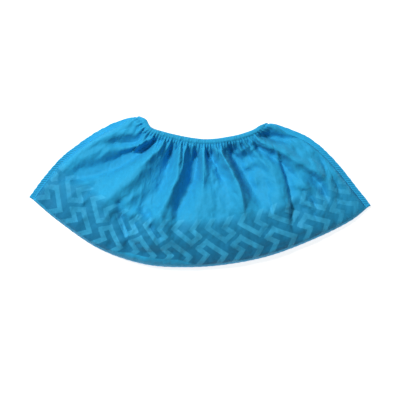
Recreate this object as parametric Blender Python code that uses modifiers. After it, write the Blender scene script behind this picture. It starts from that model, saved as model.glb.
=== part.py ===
"""Elasticated non-woven shoe cover, lying on its side with the mouth towards +Y.

Metres, +Z up.  The cover is one sheet folded along the bottom, closed by a welded
seam at the toe and at the heel, and gathered round the mouth by an elastic in a
turned hem.  Its length runs along X, its height along Y, and its back layer lies
on the floor.  The origin is on the floor below the middle of the whole.
"""
import bpy
import numpy as np

# Overall size as it lies
LENGTH = 0.372            # toe tip to heel tip
HEIGHT = 0.164            # bottom fold to the top of the ear
LOFT = 0.037              # floor to the top of the front layer, between its ridges
HEM_LIFT = 0.0245         # floor to the front hem
EAR_LIFT = 0.0125         # floor to the upper ends of the seams
EDGE_LIFT = 0.0036        # floor to the bottom fold and the tips

# Sheet
WALL = 0.001              # thickness of the cloth
EDGE_ROUND = 0.003        # roundness of the bottom fold
EAR_ROUND = 0.0078        # roundness of the mouth at its two ends
FLOOR_SLOPE = 0.35        # slope by which the back layer comes down to the floor
COLUMNS = 76              # columns of each layer, even, two to a gather
# Rows of the sheet in shares from the fold to the hem; the last two bound the hem
ROWS = (0.0, 0.013, 0.045, 0.11, 0.2, 0.31, 0.43, 0.55, 0.67, 0.78, 0.87, 0.93, 0.965, 1.0)

# Turned hem and elastic
HEM_WIDTH = 0.0040        # depth of the turned hem
HEM_TURN = 0.0019         # half the distance between the hem's two walls
HEM_ANGLES = (90, 180)    # degrees round the turn
PLEAT = 0.0010            # half height of the gathers
PLEAT_AT_HEM = 0.3        # share of it that is left in the hem itself
PLEAT_REACH = 0.30        # share of the height that the gathers run down
PLEAT_GROW = 0.22         # share of the height over which they grow to full depth
PLEAT_ENDS = 0.15         # share of the length over which they fade at each seam
ELASTIC_THICK = 0.0012
ELASTIC_WIDTH = 0.0028
ELASTIC_DROP = 0.0017     # from the hem's top row down to the elastic's middle

# Welded seams
SEAM_WIDTH = 0.005
SEAM_THICK = 0.001
GAP = 0.0004              # between the cloth and the welded margin

# Outlines in plan: x in shares of LENGTH from the middle, y in shares of HEIGHT
BOTTOM_FOLD = (
    # x, y
    (-0.499, 0.470), (-0.413, 0.305), (-0.295, 0.124), (-0.165, 0.022), (-0.040, 0.001),
    (0.080, 0.020), (0.205, 0.078), (0.330, 0.185), (0.437, 0.305), (0.499, 0.416),
)
TOE_SEAM = (
    # x, y
    (-0.499, 0.470), (-0.460, 0.590), (-0.413, 0.714), (-0.366, 0.802),
    (-0.295, 0.909), (-0.224, 0.983), (-0.174, 0.998),
)
HEEL_SEAM = (
    # x, y
    (0.499, 0.416), (0.460, 0.527), (0.413, 0.661), (0.366, 0.775),
    (0.316, 0.862), (0.262, 0.918), (0.222, 0.950), (0.188, 0.953),
)
# The hems between the seams' upper ends
FRONT_HEM = (
    # x, y
    (-0.160, 0.925), (-0.146, 0.890), (-0.112, 0.880), (-0.053, 0.851),
    (0.015, 0.831), (0.088, 0.848), (0.150, 0.866), (0.176, 0.882),
)
BACK_HEM = (
    # x, y
    (-0.158, 0.895), (-0.130, 0.855), (-0.060, 0.805),
    (0.015, 0.790), (0.090, 0.800), (0.150, 0.828), (0.174, 0.860),
)

# Course of the layers, in shares of the length and of the height
BELLY_LEVEL = 0.5         # share of HEM_LIFT that the front's belly starts from
BELLY_TOP = 0.38          # height at which the belly is highest
BELLY_ENDS = 0.36         # length over which each end rises
BELLY_END_POWER = 1.6     # how slowly it rises there
HEM_ENDS = 0.16           # length over which the hem rises from each ear
SEAM_FADE = 0.25          # length that a seam's bow reaches into
EAR_START = 0.55          # height at which the edges begin to grow rounder
EAR_REACH = 0.4           # height over which they do
RELIEF_EDGE = 0.14        # height over which the large folds fade at closed edges
RELIEF_HEM = 0.24         # height over which they fade at the hem

# Large folds of the front layer: each line runs through three plan points
FOLDS = (
    # name, x0, y0, x1, y1, x2, y2, half width in HEIGHT, height in LOFT
    ("below_left_ear", -0.145, 0.870, -0.212, 0.835, -0.300, 0.822, 0.030, -0.12),
    ("ear_roll", -0.150, 0.895, -0.225, 0.905, -0.310, 0.850, 0.040, 0.06),
    ("left_hollow", -0.240, 0.735, -0.300, 0.730, -0.375, 0.745, 0.070, -0.12),
    ("first_crease", -0.118, 0.875, -0.192, 0.762, -0.258, 0.650, 0.030, -0.20),
    ("first_ridge", -0.100, 0.860, -0.160, 0.720, -0.235, 0.600, 0.050, 0.12),
    ("second_valley", -0.093, 0.800, -0.118, 0.620, -0.190, 0.390, 0.050, -0.22),
    ("second_ridge", -0.068, 0.810, -0.080, 0.620, -0.165, 0.330, 0.034, 0.14),
    ("deep_valley", -0.026, 0.780, -0.042, 0.600, -0.097, 0.330, 0.052, -0.30),
    ("third_ridge", 0.003, 0.760, 0.006, 0.600, -0.050, 0.340, 0.036, 0.13),
    ("crumple", 0.030, 0.730, 0.024, 0.660, 0.020, 0.600, 0.028, -0.10),
    ("fourth_ridge", 0.050, 0.800, 0.080, 0.620, 0.125, 0.400, 0.028, 0.12),
    ("fifth_valley", 0.078, 0.770, 0.104, 0.600, 0.136, 0.380, 0.034, -0.18),
    ("right_hollow", 0.130, 0.680, 0.170, 0.620, 0.210, 0.560, 0.070, -0.08),
    ("right_ridge", 0.147, 0.850, 0.250, 0.760, 0.360, 0.610, 0.036, 0.12),
    ("right_crease", 0.246, 0.690, 0.256, 0.560, 0.274, 0.400, 0.030, -0.12),
    ("below_right_ear", 0.180, 0.862, 0.240, 0.850, 0.300, 0.815, 0.030, -0.10),
)

# Finishes: colour, roughness
CLOTH_BLUE = ((0.035, 0.34, 0.66, 1.0), 0.75)
WELD_BLUE = ((0.06, 0.40, 0.72, 1.0), 0.45)
ELASTIC_WHITE = ((0.8, 0.82, 0.84, 1.0), 0.8)


def even_samples(path, count):
    """Points at even steps of length along a fine polyline."""
    steps = np.linalg.norm(np.diff(path, axis=0), axis=1)
    length = np.concatenate(([0.0], np.cumsum(steps)))
    at = np.linspace(0, length[-1], count)
    return np.stack([np.interp(at, length, axis) for axis in path.T], axis=-1)


def smooth_path(points, count, fine=24):
    """Catmull-Rom curve through points, sampled evenly along its length."""
    points = np.array(points)
    ends = np.vstack((2 * points[0] - points[1], points, 2 * points[-1] - points[-2]))
    t = np.linspace(0, 1, fine, endpoint=False)[:, None]
    pieces = []
    for a, b, c, d in zip(ends, ends[1:], ends[2:], ends[3:]):
        pieces.append(0.5 * (2 * b + (c - a) * t + (2 * a - 5 * b + 4 * c - d) * t ** 2
                             + (3 * b - a - 3 * c + d) * t ** 3))
    return even_samples(np.vstack(pieces + [points[-1:]]), count)


def in_plan(table):
    """Plan points in metres from a table of shares."""
    return np.array(table) * (LENGTH, HEIGHT)


def sideways(path):
    """Unit vectors in plan to the right of a path's direction."""
    along = np.gradient(path[:, :2], axis=0)
    along /= np.linalg.norm(along, axis=1, keepdims=True)
    return np.stack((along[:, 1], -along[:, 0]), axis=1)


def rounded(t):
    """Quarter circle from 0, where it is upright, to 1, where it is level."""
    return np.sqrt(1 - (1 - np.clip(t, 0, 1)) ** 2)


def eased(t):
    """Smooth step from 0 to 1."""
    t = np.clip(t, 0, 1)
    return t * t * (3 - 2 * t)


def distance_to_path(x, y, path):
    """Shortest plan distance from each point to a polyline."""
    best = np.full(x.shape, np.inf)
    for (ax, ay), (bx, by) in zip(path, path[1:]):
        dx, dy = bx - ax, by - ay
        t = np.clip(((x - ax) * dx + (y - ay) * dy) / (dx * dx + dy * dy), 0, 1)
        best = np.minimum(best, np.hypot(x - ax - t * dx, y - ay - t * dy))
    return best


def meeting(seam, fold):
    """Cut a seam line and a fold line where they come nearest; both start there."""
    apart = np.linalg.norm(seam[:, None] - fold[None], axis=2)
    i, j = np.unravel_index(np.argmin(apart), apart.shape)
    corner = (seam[i] + fold[j]) / 2
    return np.vstack((corner, seam[i + 1:])), np.vstack((corner, fold[j + 1:]))


def edge_lines():
    """Middle lines of the pocket's closed edges in plan: fold, toe and heel."""
    inset = SEAM_WIDTH + GAP + WALL / 2
    toe = smooth_path(in_plan(TOE_SEAM), 300)
    toe = toe + inset * sideways(toe)
    heel = smooth_path(in_plan(HEEL_SEAM), 300)
    heel = heel - inset * sideways(heel)
    fold = smooth_path(in_plan(BOTTOM_FOLD), 600)
    fold = fold - WALL / 2 * sideways(fold)
    toe, fold = meeting(toe, fold)
    heel, backwards = meeting(heel, fold[::-1])
    return backwards[::-1], toe, heel


def hem_line(table, toe, heel):
    """A hem in plan between the seams' ends, its points even over its length in space."""
    fine = smooth_path(np.vstack((toe[-1], in_plan(table), heel[-1])), 600)
    length = np.linspace(0, 1, 600) * np.sum(np.linalg.norm(np.diff(fine, axis=0), axis=1))
    from_end = np.minimum(length, length[-1] - length)
    rise = EAR_ROUND * rounded(from_end / EAR_ROUND)
    return even_samples(np.column_stack((fine, rise)), COLUMNS + 1)[:, :2]


def seam_rows(seam):
    """Points of a seam line at the sheet's rows."""
    even = even_samples(seam, 400)
    share = np.linspace(0, 1, 400)
    return np.stack([np.interp(ROWS, share, axis) for axis in even.T], axis=-1)


def layer_plan(hem, fold, toe, heel):
    """A layer in plan, [row, column, xy]: straight columns from the fold to the hem.

    Near each seam they take on the seam's own bow, which fades over SEAM_FADE.
    """
    u = np.linspace(0, 1, COLUMNS + 1)[None, :, None]
    v = np.array(ROWS)[:, None, None]
    straight = (1 - v) * fold[None] + v * hem[None]
    toe_bow = toe[:, None] - straight[:, :1]
    heel_bow = heel[:, None] - straight[:, -1:]
    fade = eased(1 - u / SEAM_FADE)
    return straight + fade * toe_bow + eased(1 - (1 - u) / SEAM_FADE) * heel_bow


def fold_relief(x, y):
    """Height of the large folds: a bell across each line."""
    relief = np.zeros(x.shape)
    for _, x0, y0, x1, y1, x2, y2, half_width, height in FOLDS:
        line = smooth_path(in_plan(((x0, y0), (x1, y1), (x2, y2))), 12)
        away = distance_to_path(x, y, line) / (half_width * HEIGHT)
        relief += height * LOFT * np.exp(-away ** 2)
    return relief


def pleat_depth(v, u):
    """Half height of the gathers: deepest just below the hem, none at the seams."""
    depth = PLEAT * eased((v - 1 + PLEAT_REACH) / PLEAT_GROW)
    in_hem = v >= ROWS[-2]
    depth = depth * (1 - (1 - PLEAT_AT_HEM) * in_hem)
    return depth * eased(u / PLEAT_ENDS) * eased((1 - u) / PLEAT_ENDS)


def layer_heights(plan, edges, front):
    """Height of a layer's middle, which leaves its closed edges in a round.

    The back layer comes down a slope to the floor.  The front layer rises to the
    hem and bellies between: a quarter circle up from the fold, then eased down.
    """
    x, y = plan[..., 0], plan[..., 1]
    v = np.array(ROWS)[:, None]
    u = np.linspace(0, 1, COLUMNS + 1)[None]
    away = np.min([distance_to_path(x, y, edge) for edge in edges], axis=0)
    radius = EDGE_ROUND + (EAR_ROUND - EDGE_ROUND) * eased((v - EAR_START) / EAR_REACH)
    edge = EDGE_LIFT + (EAR_LIFT - EDGE_LIFT) * v ** 1.5
    leave = radius * rounded(away / radius)
    if not front:
        drop = leave + FLOOR_SLOPE * np.maximum(away - radius, 0)
        return np.maximum(edge - drop, WALL / 2 + pleat_depth(v, u))
    hem_rise = (HEM_LIFT - EAR_LIFT - EAR_ROUND) * v * eased(u / HEM_ENDS)
    hem_rise = hem_rise * eased((1 - u) / HEM_ENDS)
    ends = (rounded(u / BELLY_ENDS) * rounded((1 - u) / BELLY_ENDS)) ** BELLY_END_POWER
    over = rounded(v / BELLY_TOP) * (1 - eased((v - BELLY_TOP) / (1 - BELLY_TOP)))
    belly = (LOFT - BELLY_LEVEL * HEM_LIFT) * ends * over
    inside = rounded(away / (RELIEF_EDGE * HEIGHT)) * eased((1 - v) / RELIEF_HEM)
    return edge + leave + hem_rise + belly + fold_relief(x, y) * inside


def unit(vectors):
    """Vectors scaled to length 1."""
    return vectors / np.linalg.norm(vectors, axis=-1, keepdims=True)


def pocket_rings():
    """Middle surface below the hem as rings round the mouth: [row, column, xyz].

    The columns run along the front from toe to heel, then back along the floor.
    The hem's own row is set straight below it, so that its walls lie parallel.
    """
    fold, toe, heel = edge_lines()
    edges = (even_samples(fold, 80), even_samples(toe, 50), even_samples(heel, 50))
    fold_points = even_samples(fold, COLUMNS + 1)
    layers = []
    for table, front in ((FRONT_HEM, True), (BACK_HEM, False)):
        hem = hem_line(table, toe, heel)
        plan = layer_plan(hem, fold_points, seam_rows(toe), seam_rows(heel))
        heights = layer_heights(plan, edges, front)
        layers.append(np.dstack((plan, heights)))
    front, back = layers
    rings = np.concatenate((front, back[:, -2:0:-1]), axis=1)
    onward, _ = hem_frame(rings)
    band = np.linalg.norm(rings[-1] - rings[-2], axis=1, keepdims=True)
    rings[-2] = rings[-1] - band * onward
    rings[-2, :, 2] = np.maximum(rings[-2, :, 2], WALL / 2 + PLEAT_AT_HEM * PLEAT)
    return rings


def hem_frame(rings):
    """At each hem point: the direction on past the hem, and the outward normal."""
    hem = rings[-1]
    tangent = np.roll(hem, -2, axis=0) - np.roll(hem, 2, axis=0)
    onward = sum(np.roll(unit(hem - rings[-2]), shift, axis=0) for shift in (-2, -1, 0, 1, 2))
    normal = unit(np.cross(tangent, onward))
    return unit(np.cross(normal, tangent)), normal


def surface_normals(rings):
    """Outward unit normals of the rings from their neighbours' differences."""
    round_mouth = np.roll(rings, -2, axis=1) - np.roll(rings, 2, axis=1)
    up = np.gradient(rings, axis=0)
    return unit(np.cross(round_mouth, up))


def sheet_rows():
    """All rows of the sheet: the pocket, then the hem turned in over the elastic."""
    rings = pocket_rings()
    onward, normal = hem_frame(rings)
    columns = np.arange(2 * COLUMNS)
    u = np.abs((columns + COLUMNS) % (2 * COLUMNS) - COLUMNS) / COLUMNS
    swing = np.where(columns % 2, -1.0, 1.0)
    push = (swing * pleat_depth(np.array(ROWS)[:, None], u[None]))[..., None]
    rows = list(rings + push * surface_normals(rings))
    top = rings[-1] + push[-1] * normal
    rows[-1] = top
    for angle in np.radians(HEM_ANGLES):
        rows.append(top + HEM_TURN * (np.sin(angle) * onward - (1 - np.cos(angle)) * normal))
    rows.append(rows[-1] - HEM_WIDTH * onward)
    return rows


def mesh_object(name, points, faces, finish):
    """A mesh object with one plain material."""
    mesh = bpy.data.meshes.new(name)
    mesh.from_pydata([tuple(point) for point in points], [], faces)
    mesh.update()
    thing = bpy.data.objects.new(name, mesh)
    colour, roughness = finish
    material = bpy.data.materials.new(name + "_finish")
    material.use_nodes = True
    shader = material.node_tree.nodes["Principled BSDF"]
    shader.inputs["Base Color"].default_value = colour
    shader.inputs["Roughness"].default_value = roughness
    shader.inputs["Metallic"].default_value = 0.0
    mesh.materials.append(material)
    return thing


def ring_face(row, column, count, fold_index, offsets):
    """The four corners of one patch, row 0 being the fold that both layers share."""
    after = (column + 1) % count

    def index(r, c):
        return fold_index[c] if r == 0 else offsets[r] + c

    return (index(row, column), index(row, after), index(row + 1, after), index(row + 1, column))


def cover_sheet():
    """The folded and gathered sheet with its turned hem, one wall all over."""
    rows = sheet_rows()
    count = 2 * COLUMNS
    fold_index = [c if c <= COLUMNS else count - c for c in range(count)]
    points = np.vstack([rows[0][:COLUMNS + 1]] + rows[1:])
    offsets = [0] + [COLUMNS + 1 + count * r for r in range(len(rows) - 1)]
    faces = []
    for row in range(len(rows) - 1):
        for column in range(count):
            a, b, c, d = ring_face(row, column, count, fold_index, offsets)
            starts_at_tip = row == 0 and column in (0, COLUMNS)
            ends_at_tip = row == 0 and column in (COLUMNS - 1, count - 1)
            if starts_at_tip:
                faces += [(a, b, c), (a, c, d)]
            elif ends_at_tip:
                faces += [(a, b, d), (b, c, d)]
            else:
                faces.append((a, b, c, d))
    sheet = mesh_object("cover_sheet", points, faces, CLOTH_BLUE)
    wall = sheet.modifiers.new("Wall", "SOLIDIFY")
    wall.thickness = WALL
    wall.offset = 0.0
    return sheet


def swept_band(name, corners, closed, finish):
    """A bar with four corners at each station: corners[station, corner, xyz]."""
    stations = len(corners)
    faces = []
    for s in range(stations if closed else stations - 1):
        here, there = 4 * s, 4 * ((s + 1) % stations)
        for k in range(4):
            after = (k + 1) % 4
            faces.append((here + k, here + after, there + after, there + k))
    if not closed:
        last = 4 * (stations - 1)
        faces += [(3, 2, 1, 0), (last, last + 1, last + 2, last + 3)]
    return mesh_object(name, corners.reshape(-1, 3), faces, finish)


def elastic_band():
    """The flat elastic ring that lies loose inside the turned hem."""
    rings = pocket_rings()
    onward, normal = hem_frame(rings)
    middle = rings[-1] - HEM_TURN * normal - ELASTIC_DROP * onward
    half_n = ELASTIC_THICK / 2 * normal
    half_d = ELASTIC_WIDTH / 2 * onward
    corners = np.stack((middle + half_n - half_d, middle - half_n - half_d,
                        middle - half_n + half_d, middle + half_n + half_d), axis=1)
    return swept_band("elastic_band", corners, True, ELASTIC_WHITE)


def seam_margin(name, seam, heights, side):
    """A welded margin: a flat strip just outside the pocket's closed end."""
    out = np.column_stack((side * sideways(seam), np.zeros(len(seam))))
    line = np.column_stack((seam, heights))
    inner = line + (WALL / 2 + GAP) * out
    outer = inner + SEAM_WIDTH * out
    lift = np.array((0, 0, SEAM_THICK / 2))
    corners = np.stack((inner - lift, outer - lift, outer + lift, inner + lift), axis=1)
    if side > 0:
        corners = corners[:, ::-1]
    return swept_band(name, corners, False, WELD_BLUE)


def build():
    """All pieces under one empty, which centres them over the origin."""
    for thing in list(bpy.data.objects):
        bpy.data.objects.remove(thing)
    rings = pocket_rings()
    toe, heel = rings[:, 0], rings[:, COLUMNS]
    pieces = [
        cover_sheet(),
        elastic_band(),
        seam_margin("toe_seam", toe[:, :2], toe[:, 2], -1),
        seam_margin("heel_seam", heel[:, :2], heel[:, 2], 1),
    ]
    folder = bpy.data.collections.new("shoe_cover")
    bpy.context.scene.collection.children.link(folder)
    root = bpy.data.objects.new("cover_middle", None)
    folder.objects.link(root)
    for piece in pieces:
        folder.objects.link(piece)
        piece.parent = root
    bpy.context.view_layer.update()
    graph = bpy.context.evaluated_depsgraph_get()
    corners = np.vstack([np.array(piece.evaluated_get(graph).bound_box) for piece in pieces])
    low, high = corners.min(axis=0), corners.max(axis=0)
    root.location = (-(low[0] + high[0]) / 2, -(low[1] + high[1]) / 2, -low[2])
    bpy.context.view_layer.update()


build()
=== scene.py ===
import bpy
import numpy as np
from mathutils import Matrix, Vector


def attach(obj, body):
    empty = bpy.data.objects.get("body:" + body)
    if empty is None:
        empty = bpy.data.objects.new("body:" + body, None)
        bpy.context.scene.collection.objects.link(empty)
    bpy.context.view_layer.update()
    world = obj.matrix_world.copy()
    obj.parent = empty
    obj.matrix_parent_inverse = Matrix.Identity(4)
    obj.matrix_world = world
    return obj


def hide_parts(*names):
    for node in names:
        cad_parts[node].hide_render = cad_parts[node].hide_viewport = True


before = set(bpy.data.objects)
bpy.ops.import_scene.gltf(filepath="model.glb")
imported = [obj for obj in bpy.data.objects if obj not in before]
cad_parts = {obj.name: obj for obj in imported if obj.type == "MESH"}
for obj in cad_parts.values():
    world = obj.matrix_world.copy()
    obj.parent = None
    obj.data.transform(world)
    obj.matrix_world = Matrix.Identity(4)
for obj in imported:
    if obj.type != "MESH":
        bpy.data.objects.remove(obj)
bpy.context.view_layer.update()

# The cover itself is one rectangle of thin blue spunbonded cloth. It is folded along the sole, welded
# to itself at both ends and drawn together at the mouth, so it lies as a fan of soft folds. The sole fold,
# the ends, the back hem and the plain swell are the solid part's. The front hem rises more at its two
# ends than there, and the folds are settled here and go deeper.
LENGTH = 0.372
HEIGHT = 0.164
MIDDLE = (0.0001, -0.0819)
LOFT = 0.037
HEM_LIFT = 0.0245
EAR_LIFT = 0.0125
EDGE_LIFT = 0.0036
EDGE_ROUND = 0.003
EAR_ROUND = 0.0078
FLOOR_SLOPE = 0.35
SEAM_INSET = 0.0059
SEAM_FADE = 0.25
COLUMNS = 340
ROW_COUNT = 60
MM = 0.001
SHEET_CUT = (0.41, 0.324)
SHEET_WALL = 0.00028
GATHERS = 54
# The gathers are three waves: the height of each, how far below the hem it is strongest, and its reach
# from there, in millimetres.
GATHER_WAVES = ((1.15, 5.2, 3.5), (1.3, 12.0, 8.0), (1.3, 22.0, 14.0))
# How far the hem swells over its elastic, and is pinched below it, in millimetres.
HEM_SWELL = 0.6
HEM_PINCH = 0.55
# The crumples of two sizes: the cell, and the height in millimetres.
WIDE_CRUMPLE = (0.015, 1.5)
NARROW_CRUMPLE = (0.007, 0.75)
HEM_BAND = 0.0036
HEM_TURN = 0.0016
HEM_INSIDE = 0.0042
SINK = 0.0025
# Each fold is sharpened by this share of its difference from the cloth on both sides of it.
CRISPNESS = 0.9
# What stands above the first of these heights sags towards it, the more the higher it stands, and what
# lies below the third is lifted towards it in the same way, off the lower layer.
SLUMP_FROM = 0.037
SLUMP_OVER = 0.016
REST_FROM = 0.009
REST_OVER = 0.002
# How the cloth settles: the rounds, the slack of a thread upwards, the share of its speed that a point
# keeps, the share of its push that it follows, the pull askew, the stiffness and the pull back.
SETTLE_ROUNDS = 900
SLACK_UPWARDS = 1.003
SPEED_KEPT = 0.96
PUSH_FOLLOWED = 0.17
PULL_ASKEW = 0.6
STIFFNESS = 0.15
PULLED_BACK = 0.9995
BOTTOM_FOLD = (
    (-0.499, 0.470), (-0.413, 0.305), (-0.295, 0.124), (-0.165, 0.022), (-0.040, 0.001),
    (0.080, 0.020), (0.205, 0.078), (0.330, 0.185), (0.437, 0.305), (0.499, 0.416),
)
TOE_SEAM = (
    (-0.499, 0.470), (-0.460, 0.590), (-0.413, 0.714), (-0.366, 0.802),
    (-0.295, 0.909), (-0.224, 0.983), (-0.174, 0.998),
)
HEEL_SEAM = (
    (0.499, 0.416), (0.460, 0.527), (0.413, 0.661), (0.366, 0.775),
    (0.316, 0.862), (0.262, 0.918), (0.222, 0.950), (0.188, 0.953),
)
FRONT_HEM = (
    (-0.159, 0.967), (-0.151, 0.930), (-0.138, 0.904), (-0.110, 0.884), (-0.053, 0.853),
    (0.015, 0.832), (0.088, 0.850), (0.138, 0.880), (0.162, 0.905), (0.176, 0.930),
)
BACK_HEM = (
    (-0.158, 0.895), (-0.130, 0.855), (-0.060, 0.805), (0.015, 0.790),
    (0.090, 0.800), (0.150, 0.828), (0.174, 0.860),
)
# The camera looks straight down from here. The square photograph is this many pixels wide.
CAMERA_PLACE = (0.0, -0.0088, 1.5)
CAMERA_LENS = 124.0
CAMERA_SENSOR = 36.0
PICTURE_SIDE = 400
# The main folds fan out from the hem. Each has its name, its height in millimetres, and the line that it
# takes downwards in the photograph, picked there in pixels from the upper left corner.
MAIN_FOLDS = (
    ("toe ear ridge", 2.0, ((150, 130), (135, 134), (110, 137), (90, 143))),
    ("toe ear valley", -3.5, ((149.5, 134), (141, 141.5), (118, 144), (98, 145))),
    ("toe ridge", 5.5, ((153, 136.5), (141, 144.5), (128, 148), (112, 150.5), (85, 153))),
    ("toe valley", -13.0,
     ((158, 139), (147, 144), (138.6, 150.7), (125.7, 158.6), (108.6, 173), (94, 187))),
    ("pocket ridge", 6.5, ((165, 142), (152, 155), (138, 168), (121, 184), (106, 198))),
    ("pocket valley", -14.0,
     ((171, 147), (168.5, 163), (166, 175), (160, 188), (151, 200), (143, 210))),
    ("second pocket ridge", 6.5,
     ((182, 147), (180.5, 160), (178, 174), (173, 190), (166, 203), (159, 216), (152, 230))),
    ("deepest valley", -21.0,
     ((197, 149), (196, 163), (193, 175), (189, 186), (184, 196), (179, 205))),
    ("middle swell", 2.0, ((203.5, 146), (204, 165), (203, 185), (200, 200), (192, 214))),
    ("middle valley", -8.0, ((211, 147), (214, 158), (219, 170), (226, 182))),
    ("long ridge", 8.0,
     ((217.5, 145), (226, 160), (233, 172), (238.5, 183), (242, 197), (243.5, 210))),
    ("long valley", -12.0,
     ((228.5, 146), (235.5, 158), (242, 168), (248, 178), (253, 188), (257, 198))),
    ("heel swell", 3.0, ((245, 142), (257, 154), (268, 166), (279, 180), (281, 196))),
    ("heel valley", -6.0, ((252, 140), (270, 154), (285, 168), (294, 182), (297, 200))),
    ("heel ridge", 5.0, ((257, 137), (277, 149), (298, 160), (314, 171), (328, 178))),
    ("heel ear valley", -5.0, ((259, 134), (275, 139), (297, 142), (312, 150))),
)
# How many places of each line are looked up on the cloth, how many of them are kept at most, and by what
# share of the way up each has to be lower than the one before it.
PICTURE_PLACES = 7
PLACES_KEPT = 5
LOWER_BY = 0.01
# The cloth is more crumpled in some places: the middle and the reach in millimetres, and the gain.
CRUSHED = (
    ("toe pocket", (-50, -34), 30, 1.5),
    ("middle", (46, 22), 28, 0.9),
    ("beside the deepest fold", (2, 22), 20, 0.9),
    ("heel", (118, 4), 32, 1.1),
)
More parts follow.
